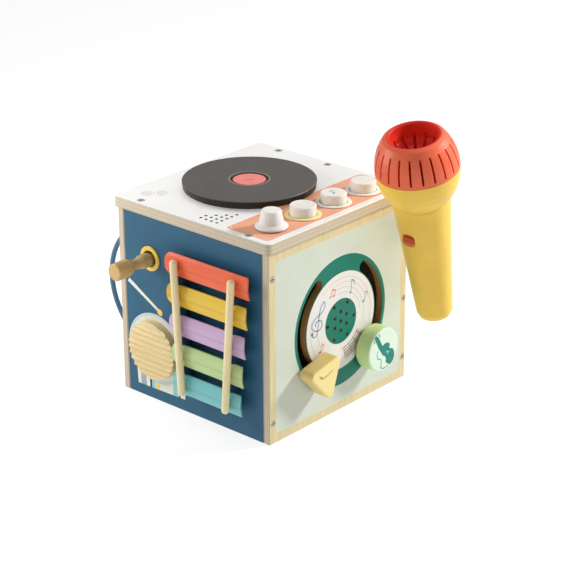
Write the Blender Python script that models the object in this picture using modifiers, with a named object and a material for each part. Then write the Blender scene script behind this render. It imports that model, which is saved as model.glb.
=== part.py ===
"""Wooden activity cube with music toys on its faces.

Frame: metres, +Z up, floor at z = 0, cube centred on x = y = 0.
-Y is the front (dial and two sliders), -X the left side (xylophone, guiro, mallet),
+X the right side (microphone cradle), +Y the rear (bead wire, battery door).
All dimensions below are millimetres and are turned into metres where meshes are made.
"""

import math

import bmesh
import bpy
from mathutils import Euler, Matrix, Vector

MM = 0.001
GAP = 0.3

# Box
WIDTH = 194.0
DEPTH = 186.0
WALL_TOP = 184.0
WALL = 7.0
LID_TOP = 195.0
LID_OVERHANG = 3.0
LID_CORNER = 5.0
EDGE_ROUND = 0.8

LEFT = -WIDTH / 2
RIGHT = WIDTH / 2
FRONT = -DEPTH / 2
REAR = DEPTH / 2
LID_BOTTOM = WALL_TOP + GAP

# Front dial and its two sliders
DIAL_X = 1.0
DIAL_Z = 90.0
SLOT_RADIUS = 54.5
SLOT_HALF = 6.0
SLOT_REST = 223.0
SLOT_TOP = 126.0
SOUND_HOLE_RADIUS = 2.0
INNER_HOLES = 9.4
OUTER_HOLES = 18.6
KNOB_STAND = 2.3
KNOB_BACK = FRONT - KNOB_STAND
KNOB_THICK = 16.2
TRIANGLE_RADIUS = 27.0
TRIANGLE_ROUND = 5.0
TRIANGLE_TURN = 42.0
ROUND_KNOB_RADIUS = 21.5

# Left side: guiro, mallet, xylophone
GUIRO_Y = 48.5
GUIRO_Z = 53.0
GUIRO_RADIUS = 29.0
GUIRO_THICK = 8.6
GUIRO_GROOVES = 10
GUIRO_PITCH = 5.6
GUIRO_TOP_GROOVE = 23.0
MALLET_Y = 52.0
MALLET_Z = 143.0
MALLET_HOLE = 8.0
MALLET_RING = 12.0
BAR_TOP_Z = 151.0
BAR_PITCH = 29.1
BAR_HEIGHT = 21.0
BAR_REAR_ENDS = (22.5, 21.0, 18.8, 16.6, 15.0)
BAR_FRONT_ENDS = (-78.5, -75.5, -73.0, -70.2, -68.0)
BAR_STAND = 8.0
BAR_SHEET = 1.5
BAR_ARCH = 2.0
ROD_RADIUS = 3.5
ROD_TOP_Z = 158.0
ROD_BOTTOM_Z = 25.5
RAIL_TOP_Z = 156.0
RAIL_BOTTOM_Z = 28.0
ROD_LINES = {"left": (7.5, 0.8), "right": (-63.2, -53.4)}

# Lid: record, controls
RECORD_X = -5.0
RECORD_Y = 13.0
RECORD_RADIUS = 62.5
RECORD_BOTTOM = 197.3
RECORD_TOP = 204.6
LABEL_RADIUS = 16.6
CONTROL_Y = -69.5
VOLUME_X = -66.5
BUTTON_XS = (-24.5, 17.5, 59.5)
BUTTON_RADIUS = 12.2
BEZEL_RADIUS = 16.8
GRILLE_X = -89.0
GRILLE_Y = -5.4
GRILLE_RADIUS = 1.7
FRONT_SCREW_SHARE = 0.85
GRILLE_STEP = 6.5

# Rear: bead wire and battery door
WIRE_X = -46.0
WIRE_Z = 82.0
WIRE_ARC = 66.5
WIRE_RADIUS = 2.5
BEAD_RADIUS = 10.5
BEAD_HALF = 9.5
BEAD_REST = -78.0
DOOR_X = 42.0
DOOR_Z = 58.0
DOOR_HALF_X = 36.0
DOOR_HALF_Z = 32.0

# Microphone, measured along its own axis from the tail
MIC_TAIL = (93.1, -131.3, 77.0)
MIC_TILT = (math.radians(1.7), math.radians(-14.0), 0.0)
MIC_NECK = 130.0
MIC_EQUATOR = 163.0
MIC_SPLIT = 162.0
MIC_RIM = 195.5
MIC_TAIL_RADIUS = 16.4
MIC_NECK_RADIUS = 26.8
MIC_HEAD_RADIUS = 38.5
MIC_HEAD_HALF = 45.0
MIC_SHELL = 2.6
MIC_SLOTS = 22
MIC_BOWL_SLOTS = 11
SWITCH_HEIGHT = 97.2

for old in list(bpy.data.objects):
    bpy.data.objects.remove(old, do_unlink=True)

PARTS = bpy.data.collections.new("activity_cube")
CUTTERS = bpy.data.collections.new("cutters")
bpy.context.scene.collection.children.link(PARTS)
bpy.context.scene.collection.children.link(CUTTERS)


def material(name, colour, roughness, metallic=0.0):
    made = bpy.data.materials.new(name)
    made.use_nodes = True
    shader = made.node_tree.nodes["Principled BSDF"]
    shader.inputs["Base Color"].default_value = (*colour, 1.0)
    shader.inputs["Roughness"].default_value = roughness
    shader.inputs["Metallic"].default_value = metallic
    return made


PALE_WOOD = material("pale_wood", (0.68, 0.55, 0.33), 0.6)
RIB_WOOD = material("rib_wood", (0.70, 0.55, 0.30), 0.65)
BLUE_PAINT = material("blue_paint", (0.065, 0.165, 0.29), 0.5)
NAVY_PAINT = material("navy_paint", (0.03, 0.09, 0.17), 0.5)
FRONT_PAINT = material("front_paint", (0.66, 0.69, 0.58), 0.5)
WHITE_PAINT = material("white_paint", (0.86, 0.86, 0.85), 0.4)
YELLOW_PAINT = material("yellow_paint", (0.86, 0.66, 0.22), 0.45)
MINT_PAINT = material("mint_paint", (0.58, 0.80, 0.63), 0.45)
CREAM_YELLOW = material("cream_yellow", (0.90, 0.71, 0.25), 0.45)
BAR_COLOURS = (
    material("coral_enamel", (0.79, 0.17, 0.09), 0.3),
    material("yellow_enamel", (0.77, 0.54, 0.08), 0.3),
    material("lilac_enamel", (0.60, 0.40, 0.62), 0.3),
    material("green_enamel", (0.48, 0.63, 0.30), 0.3),
    material("teal_enamel", (0.22, 0.54, 0.56), 0.3),
)
RECORD_GREY = material("record_grey", (0.15, 0.145, 0.135), 0.45)
LABEL_CORAL = material("label_coral", (0.79, 0.28, 0.24), 0.5)
WHITE_PLASTIC = material("white_plastic", (0.84, 0.82, 0.79), 0.35)
YELLOW_PLASTIC = material("yellow_plastic", (0.76, 0.50, 0.09), 0.3)
CORAL_PLASTIC = material("coral_plastic", (0.78, 0.16, 0.07), 0.3)
BLACK_PLASTIC = material("black_plastic", (0.03, 0.03, 0.03), 0.5)
BOARD_GREEN = material("board_green", (0.03, 0.20, 0.08), 0.4)
STEEL = material("steel", (0.55, 0.55, 0.55), 0.35, 1.0)
CELL_WRAP = material("cell_wrap", (0.05, 0.10, 0.25), 0.35)
WIRE_BLUE = material("wire_blue", (0.045, 0.115, 0.19), 0.25)
BEAD_CORAL = material("bead_coral", (0.79, 0.20, 0.12), 0.4)


def link(obj, collection):
    collection.objects.link(obj)
    if collection is CUTTERS:
        obj.hide_render = True
        obj.display_type = "WIRE"
    return obj


def place(name, mesh, paint, origin=(0, 0, 0), turn=(0, 0, 0), collection=None):
    obj = bpy.data.objects.new(name, mesh)
    if paint is not None:
        mesh.materials.append(paint)
    obj.location = Vector(origin) * MM
    obj.rotation_euler = turn
    return link(obj, collection or PARTS)


def finish_mesh(name, shape):
    bmesh.ops.recalc_face_normals(shape, faces=shape.faces)
    mesh = bpy.data.meshes.new(name)
    shape.to_mesh(mesh)
    shape.free()
    return mesh


def soften(obj, width, segments=1, angle=40.0):
    edge = obj.modifiers.new("edge", "BEVEL")
    edge.width = width * MM
    edge.segments = segments
    edge.limit_method = "ANGLE"
    edge.angle_limit = math.radians(angle)
    edge.use_clamp_overlap = True
    return edge


def box(name, low, high, paint, edge=0.0, collection=None):
    """Block between two corners, its origin at its centre."""
    centre = [(a + b) / 2 for a, b in zip(low, high)]
    size = [(b - a) * MM for a, b in zip(low, high)]
    shape = bmesh.new()
    bmesh.ops.create_cube(shape, size=1.0, matrix=Matrix.Diagonal((*size, 1.0)))
    obj = place(name, finish_mesh(name, shape), paint, centre, collection=collection)
    if edge:
        soften(obj, edge)
    return obj


def prism(name, outline, start, end, along, paint, origin=(0, 0, 0), turn=(0, 0, 0), collection=None):
    """Outline extruded from start to end along X, Y or Z."""
    shape = bmesh.new()
    corners = []
    for first, second in outline:
        spot = {"X": (start, first, second), "Y": (first, start, second), "Z": (first, second, start)}
        corners.append(shape.verts.new(Vector(spot[along]) * MM))
    face = shape.faces.new(corners)
    pulled = bmesh.ops.extrude_face_region(shape, geom=[face])
    step = {"X": (1, 0, 0), "Y": (0, 1, 0), "Z": (0, 0, 1)}[along]
    moved = [item for item in pulled["geom"] if isinstance(item, bmesh.types.BMVert)]
    bmesh.ops.translate(shape, verts=moved, vec=Vector(step) * (end - start) * MM)
    return place(name, finish_mesh(name, shape), paint, origin, turn, collection)


def lathe(name, profile, paint, origin, turn=(0, 0, 0), steps=40, ring=False, collection=None):
    """Profile of (radius, height) spun about the local Z axis, outer side running downwards."""
    mesh = bpy.data.meshes.new(name)
    points = [Vector((radius, 0.0, height)) * MM for radius, height in profile]
    count = len(points)
    links = [(i, i + 1) for i in range(count - 1)]
    if ring:
        links.append((count - 1, 0))
    mesh.from_pydata(points, links, [])
    obj = place(name, mesh, paint, origin, turn, collection)
    spin = obj.modifiers.new("spin", "SCREW")
    spin.axis = "Z"
    spin.angle = math.radians(360)
    spin.steps = steps
    spin.render_steps = steps
    spin.use_merge_vertices = True
    spin.merge_threshold = 0.00001
    spin.use_smooth_shade = True
    return obj


def rod_set(name, items, collection=None):
    """Cylinders given as (centre, direction, radius, length) in one cutting mesh."""
    shape = bmesh.new()
    for centre, direction, radius, length, sides in items:
        turn = Vector(direction).to_track_quat("Z", "Y").to_matrix().to_4x4()
        spot = Matrix.Translation(Vector(centre) * MM) @ turn
        bmesh.ops.create_cone(
            shape, cap_ends=True, segments=sides, radius1=radius * MM, radius2=radius * MM,
            depth=length * MM, matrix=spot,
        )
    return place(name, finish_mesh(name, shape), None, collection=collection or CUTTERS)


def cut(target, cutter):
    tool = target.modifiers.new("cut_" + cutter.name, "BOOLEAN")
    tool.operation = "DIFFERENCE"
    tool.solver = "EXACT"
    tool.object = cutter
    return tool


def pivot(name, origin, children):
    """Empty on a joint axis that carries the pieces turning about it."""
    empty = bpy.data.objects.new(name, None)
    empty.location = Vector(origin) * MM
    link(empty, PARTS)
    for child in children:
        child.parent = empty
        child.location -= empty.location


def circle(radius, count, centre=(0.0, 0.0), start=0.0):
    return [
        (
            centre[0] + radius * math.cos(start + 2 * math.pi * i / count),
            centre[1] + radius * math.sin(start + 2 * math.pi * i / count),
        )
        for i in range(count)
    ]


def rounded_polygon(points, radius, steps=5):
    """Outline with every corner replaced by an arc of the given radius."""
    outline = []
    count = len(points)
    for i in range(count):
        here = Vector(points[i])
        before = (Vector(points[i - 1]) - here).normalized()
        after = (Vector(points[(i + 1) % count]) - here).normalized()
        half = before.angle(after) / 2
        middle = here + (before + after).normalized() * radius / math.sin(half)
        first = here + before * radius / math.tan(half) - middle
        last = here + after * radius / math.tan(half) - middle
        begin = math.atan2(first.y, first.x)
        sweep = (math.atan2(last.y, last.x) - begin + math.pi) % (2 * math.pi) - math.pi
        for k in range(steps + 1):
            angle = begin + sweep * k / steps
            outline.append((middle.x + radius * math.cos(angle), middle.y + radius * math.sin(angle)))
    return outline


def rectangle(low_x, low_y, high_x, high_y, radius, steps=4):
    corners = [(low_x, low_y), (high_x, low_y), (high_x, high_y), (low_x, high_y)]
    return rounded_polygon(corners, radius, steps)


def arc_slot(radius, half, start, end, steps=22, cap_steps=8):
    """Outline of a slot bent round the dial centre, angles in degrees."""
    outline = []
    for k in range(steps + 1):
        angle = math.radians(start + (end - start) * k / steps)
        outline.append(((radius + half) * math.cos(angle), (radius + half) * math.sin(angle)))
    for base, turn in ((end, 0.0), (start, 180.0)):
        centre = math.radians(base)
        middle = (radius * math.cos(centre), radius * math.sin(centre))
        for k in range(1, cap_steps):
            angle = math.radians(base + turn + 180.0 * k / cap_steps)
            outline.append((middle[0] + half * math.cos(angle), middle[1] + half * math.sin(angle)))
        if turn == 0.0:
            for k in range(steps + 1):
                angle = math.radians(end + (start - end) * k / steps)
                outline.append(((radius - half) * math.cos(angle), (radius - half) * math.sin(angle)))
    return outline


def box_panels():
    """Six boards: front and rear full width, the others let in between them."""
    inner = RIGHT - WALL
    between = REAR - WALL - GAP
    box("base_panel", (-inner + GAP, -between, 0), (inner - GAP, between, WALL), PALE_WOOD, EDGE_ROUND)
    front = box("front_panel", (LEFT, FRONT, 0), (RIGHT, FRONT + WALL, WALL_TOP), FRONT_PAINT, EDGE_ROUND)
    rear = box("rear_panel", (LEFT, REAR - WALL, 0), (RIGHT, REAR, WALL_TOP), FRONT_PAINT, EDGE_ROUND)
    left = box("left_panel", (LEFT, -between, 0), (LEFT + WALL, between, WALL_TOP), BLUE_PAINT, EDGE_ROUND)
    low = (RIGHT - WALL, -between, 0)
    right = box("right_panel", low, (RIGHT, between, WALL_TOP), YELLOW_PAINT, EDGE_ROUND)
    outline = rectangle(
        LEFT - LID_OVERHANG, FRONT - LID_OVERHANG, RIGHT + LID_OVERHANG, REAR + LID_OVERHANG, LID_CORNER
    )
    lid = prism("top_panel", outline, LID_BOTTOM, LID_TOP, "Z", WHITE_PAINT)
    soften(lid, EDGE_ROUND, 1, 60.0)
    return front, rear, left, right, lid


def front_openings(front):
    """Two arc slots for the sliders and the drilled sound holes in the dial."""
    origin = (DIAL_X, FRONT + WALL / 2, DIAL_Z)
    for side, start, end in (("left", SLOT_TOP, SLOT_REST), ("right", 180.0 - SLOT_REST, 180.0 - SLOT_TOP)):
        outline = arc_slot(SLOT_RADIUS, SLOT_HALF, start, end)
        slot = prism("slot_" + side, outline, -WALL, WALL, "Y", None, origin, collection=CUTTERS)
        cut(front, slot)
    holes = [((DIAL_X, FRONT, DIAL_Z), (0, 1, 0), SOUND_HOLE_RADIUS, 4 * WALL, 10)]
    for i in range(6):
        for radius, shift in ((INNER_HOLES, 30.0), (OUTER_HOLES, 0.0)):
            angle = math.radians(60.0 * i + shift)
            spot = (DIAL_X + radius * math.cos(angle), FRONT, DIAL_Z + radius * math.sin(angle))
            holes.append((spot, (0, 1, 0), SOUND_HOLE_RADIUS, 4 * WALL, 10))
    cut(front, rod_set("sound_holes", holes))


def sliders():
    """A knob in front of each slot and the flanged runner that holds it through the slot."""
    corners = []
    for i in range(3):
        angle = math.radians(TRIANGLE_TURN + 120.0 * i)
        corners.append((TRIANGLE_RADIUS * math.cos(angle), TRIANGLE_RADIUS * math.sin(angle)))
    shapes = {
        "triangle": (SLOT_REST, rounded_polygon(corners, TRIANGLE_ROUND), CREAM_YELLOW),
        "guitar": (180.0 - SLOT_REST, circle(ROUND_KNOB_RADIUS, 40), MINT_PAINT),
    }
    stem = WALL + KNOB_STAND + 0.5
    runner = [(0, stem), (5.6, stem), (5.6, 0.3), (11.0, 0.3), (11.0, -2.7), (0, -2.7)]
    for name, (rest, outline, paint) in shapes.items():
        angle = math.radians(rest)
        spot_x = DIAL_X + SLOT_RADIUS * math.cos(angle)
        spot_z = DIAL_Z + SLOT_RADIUS * math.sin(angle)
        knob = prism(name + "_knob", outline, 0.0, -KNOB_THICK, "Y", paint, (spot_x, KNOB_BACK - GAP, spot_z))
        soften(knob, 1.4, 2, 50.0)
        back = lathe(
            name + "_runner", [(r, h - 0.6) for r, h in runner], BLACK_PLASTIC,
            (spot_x, FRONT + WALL, spot_z), (math.radians(90), 0, 0), 20,
        )
        pivot(name + "_pivot", (DIAL_X, FRONT, DIAL_Z), (knob, back))


def guiro():
    """Ribbed wooden disc glued to the left side."""
    turn = (0, math.radians(-90), 0)
    back = LEFT - GAP
    profile = [(0, GUIRO_THICK), (GUIRO_RADIUS - 1.2, GUIRO_THICK), (GUIRO_RADIUS, GUIRO_THICK - 1.2)]
    profile += [(GUIRO_RADIUS, 0), (0, 0)]
    disc = lathe("guiro_disc", profile, RIB_WOOD, (back, GUIRO_Y, GUIRO_Z), turn, 44)
    grooves = []
    for i in range(GUIRO_GROOVES):
        height = GUIRO_Z + GUIRO_TOP_GROOVE - GUIRO_PITCH * i
        grooves.append(((back - GUIRO_THICK, GUIRO_Y, height), (0, 1, 0), 2.7, 80.0, 12))
    cut(disc, rod_set("guiro_grooves", grooves))


def mallet(left):
    hole = rod_set("mallet_hole", [((LEFT, MALLET_Y, MALLET_Z), (1, 0, 0), MALLET_HOLE, 4 * WALL, 28)])
    cut(left, hole)
    ring = [(MALLET_HOLE + 0.2, 1.6), (MALLET_RING - 0.6, 1.6), (MALLET_RING, 1.0), (MALLET_RING, 0.0)]
    ring += [(MALLET_HOLE + 0.2, 0.0)]
    turn = (0, math.radians(-90), 0)
    lathe("mallet_ring", ring, YELLOW_PLASTIC, (LEFT - GAP, MALLET_Y, MALLET_Z), turn, 28, ring=True)
    profile = [(0, 46.0), (7.2, 46.0), (8.3, 45.0), (8.5, 37.0), (8.2, 30.0), (6.8, 26.5), (5.2, 23.5)]
    profile += [(4.7, 20.0), (5.2, 16.5), (6.6, 12.5), (7.1, 8.5), (6.6, 4.0), (5.0, 0.5), (4.0, -3.0)]
    profile += [(3.6, -60.0), (3.0, -62.0), (0, -62.0)]
    lathe("mallet", profile, RIB_WOOD, (LEFT, MALLET_Y, MALLET_Z), turn, 18)


def bar_section(offset):
    """Height off the panel of a point of the bar, offset in -1..1 across its width."""
    return BAR_STAND + BAR_ARCH * (1.0 - offset * offset)


def xylophone_bar(index):
    """Sheet-metal bar, arched across its width, both ends rounded in outline."""
    rear = BAR_REAR_ENDS[index]
    front = BAR_FRONT_ENDS[index]
    centre_z = BAR_TOP_Z - BAR_PITCH * index
    rows = 8
    half = BAR_HEIGHT / 2
    shape = bmesh.new()
    layers = []
    for sheet in (0.0, BAR_SHEET):
        grid = []
        for i in range(rows + 1):
            across = -math.cos(math.pi * i / rows)
            height = bar_section(across) + sheet
            reach = 6.5 * (1.0 - math.sqrt(max(0.0, 1.0 - abs(across) ** 3.2)))
            sharp = 1.6 * max(0.0, across) ** 6
            ends = (rear - reach, front + sharp)
            grid.append([shape.verts.new(Vector((-height, y, across * half)) * MM) for y in ends])
        layers.append(grid)
    under, outer = layers
    for i in range(rows):
        shape.faces.new((outer[i][0], outer[i][1], outer[i + 1][1], outer[i + 1][0]))
        shape.faces.new((under[i][0], under[i + 1][0], under[i + 1][1], under[i][1]))
        for k in (0, 1):
            shape.faces.new((under[i][k], outer[i][k], outer[i + 1][k], under[i + 1][k]))
    for i in (0, rows):
        shape.faces.new((under[i][0], under[i][1], outer[i][1], outer[i][0]))
    name = "xylophone_bar_%d" % (index + 1)
    bar = place(name, finish_mesh(name, shape), BAR_COLOURS[index], (LEFT, 0, centre_z))
    bar.data.shade_smooth()
    bar.data.set_sharp_from_angle(angle=math.radians(35))


def rod_y(side, height):
    top, bottom = ROD_LINES[side]
    share = (ROD_TOP_Z - height) / (ROD_TOP_Z - ROD_BOTTOM_Z)
    return top + (bottom - top) * share


def xylophone_frame():
    """Toothed rails under the bars and round rods over them, glued to the teeth."""
    rod_stand = BAR_STAND + BAR_ARCH + BAR_SHEET + GAP + ROD_RADIUS
    tooth_top = rod_stand - ROD_RADIUS - GAP
    for side in ROD_LINES:
        floor = BAR_STAND - GAP
        outline = [(0.0, RAIL_BOTTOM_Z), (-floor, RAIL_BOTTOM_Z)]
        for i in reversed(range(1, 5)):
            low = BAR_TOP_Z - BAR_PITCH * i + BAR_HEIGHT / 2 + 0.8
            high = BAR_TOP_Z - BAR_PITCH * (i - 1) - BAR_HEIGHT / 2 - 0.8
            outline += [(-floor, low), (-tooth_top, low), (-tooth_top, high), (-floor, high)]
        outline += [(-floor, RAIL_TOP_Z), (0.0, RAIL_TOP_Z)]
        outline = [(x - GAP, z) for x, z in outline]
        middle = (ROD_TOP_Z + ROD_BOTTOM_Z) / 2
        lean = math.atan2(rod_y(side, ROD_TOP_Z) - rod_y(side, ROD_BOTTOM_Z), ROD_TOP_Z - ROD_BOTTOM_Z)
        shape = bmesh.new()
        corners = [shape.verts.new(Vector((x, 2.6, z - middle)) * MM) for x, z in outline]
        face = shape.faces.new(corners)
        pulled = bmesh.ops.extrude_face_region(shape, geom=[face])
        moved = [item for item in pulled["geom"] if isinstance(item, bmesh.types.BMVert)]
        bmesh.ops.translate(shape, verts=moved, vec=Vector((0, -5.2, 0)) * MM)
        name = "xylophone_rail_" + side
        turn = (-lean, 0, 0)
        place(name, finish_mesh(name, shape), NAVY_PAINT, (LEFT, rod_y(side, middle), middle), turn)
        length = (ROD_TOP_Z - ROD_BOTTOM_Z) / math.cos(lean)
        profile = [(0, length / 2)]
        for sign in (1, -1):
            arc = [(ROD_RADIUS * math.sin(math.radians(a)), math.cos(math.radians(a))) for a in (30, 60, 90)]
            side_arc = [(r, sign * (length / 2 - ROD_RADIUS * 0.7 * (1 - c))) for r, c in arc]
            profile += side_arc if sign == 1 else side_arc[::-1]
        profile.append((0, -length / 2))
        spot = (LEFT - rod_stand - GAP, rod_y(side, middle), middle)
        lathe("xylophone_rod_" + side, profile, PALE_WOOD, spot, turn, 14)


def record_player(lid):
    shaft = rod_set("spindle_hole", [((RECORD_X, RECORD_Y, LID_TOP), (0, 0, 1), 4.5, 40.0, 24)])
    cut(lid, shaft)
    thick = RECORD_TOP - RECORD_BOTTOM
    disc = [
        (4.3, 5.5), (LABEL_RADIUS + 0.6, 5.5), (LABEL_RADIUS + 0.6, thick), (RECORD_RADIUS - 0.6, thick),
        (RECORD_RADIUS, thick - 0.6), (RECORD_RADIUS - 0.8, 0.6), (RECORD_RADIUS - 1.6, 0.0), (4.3, 0.0),
    ]
    origin = (RECORD_X, RECORD_Y, RECORD_BOTTOM)
    lathe("record", disc, RECORD_GREY, origin, steps=60, ring=True)
    label = [(0, 6.7), (LABEL_RADIUS - 0.3, 6.7), (LABEL_RADIUS, 6.4), (LABEL_RADIUS, 5.8), (0, 5.8)]
    lathe("record_label", label, LABEL_CORAL, origin, steps=32)
    spindle = [(0, 5.3), (4.0, 5.3), (4.0, -0.3), (9.0, -0.3), (9.0, -2.0), (4.0, -2.0), (4.0, -13.4)]
    spindle += [(8.0, -13.4), (8.0, -17.0), (0, -17.0)]
    lathe("record_spindle", spindle, STEEL, origin, steps=16)


def controls(lid):
    """Volume knob with its potentiometer, three sprung buttons in bezels."""
    holes = [((VOLUME_X, CONTROL_Y, LID_TOP), (0, 0, 1), 4.0, 40.0, 20)]
    for spot_x in BUTTON_XS:
        holes.append(((spot_x, CONTROL_Y, LID_TOP), (0, 0, 1), 14.6, 40.0, 36))
    cut(lid, rod_set("control_holes", holes))
    knob = [(0, 16.4), (8.2, 16.4), (9.0, 15.6), (11.0, 4.6), (12.6, 3.6), (14.4, 2.4), (14.9, 1.6)]
    knob += [(14.4, 0.4), (3.0, 0.4), (3.0, -15.0), (0, -15.0)]
    volume = lathe("volume_knob", knob, WHITE_PLASTIC, (VOLUME_X, CONTROL_Y, LID_TOP + 0.6), steps=36)
    flutes = []
    for i in range(10):
        angle = 2 * math.pi * (i + 0.5) / 10
        outward = Vector((math.cos(angle), math.sin(angle), 0))
        centre = Vector((VOLUME_X, CONTROL_Y, LID_TOP + 14.2)) + outward * 11.2
        lean = Vector((0, 0, 1)) - outward * 0.16
        flutes.append((centre, lean, 1.9, 14.0, 12))
    cut(volume, rod_set("knob_flutes", flutes))
    pot = [(0, 1.5), (3.3, 1.5), (3.3, 7.2), (8.5, 7.2), (8.5, 0.0), (0, 0.0)]
    lathe("volume_pot", pot, BLACK_PLASTIC, (VOLUME_X, CONTROL_Y, 176.6), steps=24)
    for i, spot_x in enumerate(BUTTON_XS):
        bezel = [(13.0, 1.2), (BEZEL_RADIUS - 0.5, 1.2), (BEZEL_RADIUS, 0.7), (BEZEL_RADIUS, 0.3)]
        bezel += [(14.2, 0.3), (14.2, -9.8), (13.0, -9.8)]
        paint = YELLOW_PLASTIC if i == 0 else WHITE_PLASTIC
        origin = (spot_x, CONTROL_Y, LID_TOP)
        lathe("bezel_%d" % (i + 1), bezel, paint, origin, steps=28, ring=True)
        cap = [(0, 10.2), (BUTTON_RADIUS - 1.0, 10.2), (BUTTON_RADIUS - 0.2, 9.5), (BUTTON_RADIUS, 0.0)]
        cap += [(BUTTON_RADIUS, -10.2), (13.6, -10.2), (13.6, -12.0), (3.0, -12.0), (3.0, -15.0), (0, -15.0)]
        lathe("button_%d" % (i + 1), cap, WHITE_PLASTIC, origin, steps=28)


def electronics(lid):
    """Tray, board and speaker fixed under the lid behind the controls."""
    items = []
    for i in range(5):
        for j in range(4):
            if j >= i - 1 or i < 2:
                if not (i == 2 and j == 0):
                    spot = (GRILLE_X + GRILLE_STEP * i, GRILLE_Y - GRILLE_STEP * j, LID_TOP)
                    items.append((spot, (0, 0, 1), GRILLE_RADIUS, 40.0, 10))
    cut(lid, rod_set("grille_holes", items))
    low, high = (-84.0, -85.6, 162.0), (82.0, -50.0, WALL_TOP - 0.2)
    tray = box("control_tray", low, high, BLACK_PLASTIC)
    hollow = box("tray_hollow", (-81.5, -83.9, 164.5), (79.5, -52.0, 200.0), None, collection=CUTTERS)
    cut(tray, hollow)
    box("circuit_board", (-81.0, -82.0, 174.4), (79.0, -53.0, 176.0), BOARD_GREEN)
    cone = [(0, 6.0), (4.0, 5.0), (11.0, 10.6), (13.6, 10.6), (13.6, 8.6), (8.0, 2.0), (8.0, -3.0), (0, -3.0)]
    lathe("speaker", cone, BLACK_PLASTIC, (-75.0, -15.2, WALL_TOP - 10.9), steps=20)


def slimmer(profile):
    """Profile of the thinner screws of the front board and of their holes."""
    return [(radius * FRONT_SCREW_SHARE, height) for radius, height in profile]


def screws():
    """Countersunk wood screws in the lid and along the front board."""
    profile = [(0, 0.0), (3.3, 0.0), (1.6, -2.0), (1.4, -8.0), (0, -9.5)]
    lid_spots = [(92.7, 64.4), (92.7, 1.8), (-92.7, 66.5), (-93.2, -66.8)]
    for i, (spot_x, spot_y) in enumerate(lid_spots):
        lathe("lid_screw_%d" % (i + 1), profile, STEEL, (spot_x, spot_y, LID_TOP - 0.1), steps=16)
    front_spots = [(-92.0, 160.0), (-92.0, 20.5), (93.3, 83.0), (93.3, 22.0)]
    turn = (math.radians(90), 0, 0)
    for i, (spot_x, spot_z) in enumerate(front_spots):
        lathe("front_screw_%d" % (i + 1), slimmer(profile), STEEL, (spot_x, FRONT + 0.1, spot_z), turn, 16)
    return lid_spots, front_spots


def screw_holes(lid, front, left, right, lid_spots, front_spots):
    """Clearance for every screw through its board and into the one behind."""
    countersink = [(0, 6.0), (3.7, 6.0), (3.7, -0.2), (1.9, -2.4), (1.9, -10.5), (0, -10.5)]
    for i, (spot_x, spot_y) in enumerate(lid_spots):
        spot = (spot_x, spot_y, LID_TOP - 0.1)
        tool = lathe("lid_bore_%d" % i, countersink, None, spot, steps=16, collection=CUTTERS)
        cut(lid, tool)
    turn = (math.radians(90), 0, 0)
    for i, (spot_x, spot_z) in enumerate(front_spots):
        spot = (spot_x, FRONT + 0.1, spot_z)
        tool = lathe("front_bore_%d" % i, slimmer(countersink), None, spot, turn, 16, collection=CUTTERS)
        cut(front, tool)
        cut(left if spot_x < 0 else right, tool)


def bead_wire(rear):
    """Half-round wire standing out of the rear board with a bead that slides along it."""
    curve = bpy.data.curves.new("bead_wire", "CURVE")
    curve.dimensions = "3D"
    curve.bevel_depth = WIRE_RADIUS * MM
    curve.bevel_resolution = 2
    curve.use_fill_caps = True
    line = curve.splines.new("POLY")
    points = [(0.0, -6.6, -WIRE_ARC)]
    for k in range(25):
        angle = math.radians(-90 + 7.5 * k)
        points.append((0.0, WIRE_ARC * math.cos(angle), WIRE_ARC * math.sin(angle)))
    points.append((0.0, -6.6, WIRE_ARC))
    line.points.add(len(points) - 1)
    for point, spot in zip(line.points, points):
        point.co = (*(Vector(spot) * MM), 1.0)
    holder = bpy.data.objects.new("wire_path", curve)
    link(holder, CUTTERS)
    graph = bpy.context.evaluated_depsgraph_get()
    mesh = bpy.data.meshes.new_from_object(holder.evaluated_get(graph))
    bpy.data.objects.remove(holder, do_unlink=True)
    shape = bmesh.new()
    shape.from_mesh(mesh)
    bmesh.ops.remove_doubles(shape, verts=shape.verts, dist=0.00001)
    made = finish_mesh("bead_wire", shape)
    wire = place("bead_wire", made, WIRE_BLUE, (WIRE_X, REAR, WIRE_Z))
    wire.data.shade_smooth()
    wire.data.set_sharp_from_angle(angle=math.radians(50))
    holes = [((WIRE_X, REAR, WIRE_Z + s * WIRE_ARC), (0, 1, 0), WIRE_RADIUS + 0.3, 40.0, 16) for s in (1, -1)]
    cut(rear, rod_set("wire_holes", holes))
    turn = math.radians(BEAD_REST)
    spot = (WIRE_X, REAR + WIRE_ARC * math.cos(turn), WIRE_Z + WIRE_ARC * math.sin(turn))
    profile = [(3.4, BEAD_HALF)]
    for k in range(1, 8):
        lean = math.radians(180.0 * k / 8)
        profile.append((BEAD_RADIUS * math.sin(lean) ** 0.8, BEAD_HALF * math.cos(lean)))
    profile.append((3.4, -BEAD_HALF))
    bead = lathe("wire_bead", profile, BEAD_CORAL, spot, (turn, 0, 0), 20, ring=True)
    pivot("bead_pivot", (WIRE_X, REAR, WIRE_Z), (bead,))


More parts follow.
